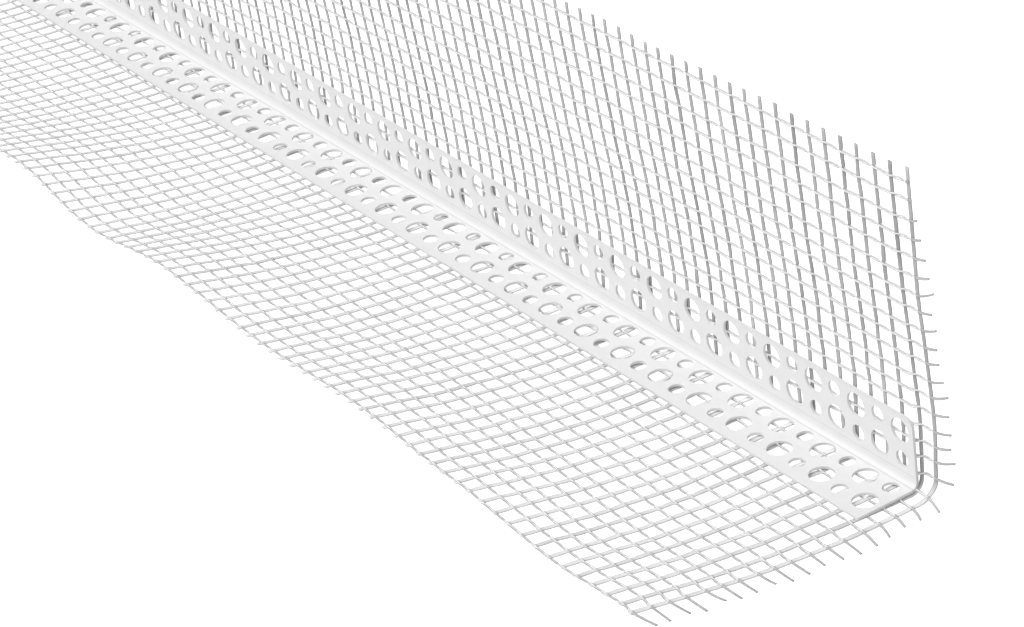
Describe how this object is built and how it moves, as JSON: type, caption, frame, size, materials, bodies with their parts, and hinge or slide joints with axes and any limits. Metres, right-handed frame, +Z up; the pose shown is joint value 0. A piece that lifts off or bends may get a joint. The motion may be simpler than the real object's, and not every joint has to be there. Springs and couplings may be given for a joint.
{
  "type": "mesh plaster profile",
  "caption": "Corner profile for plaster: a perforated white plastic angle with a wide folded strip of open glass-fibre mesh bonded round its outside.",
  "frame": {"origin": "on the floor, at the middle of the outline: half the length, and half the width of the flat wing", "axes": "+X along the profile to the end that is near in the picture, -Y from the fold towards the flat wing's cut edge, +Z up along the other wing"},
  "size_m": [2.5252, 0.0954, 0.0985],
  "materials": {
    "plastic": "satin",
    "mesh": "matte"
  },
  "bodies": {
    "root": {"angle": "plastic", "flat_wefts": "mesh", "flat_warps": "mesh", "fold_wefts": "mesh", "up_wefts": "mesh", "up_warps": "mesh"}
  },
  "joints": []
}
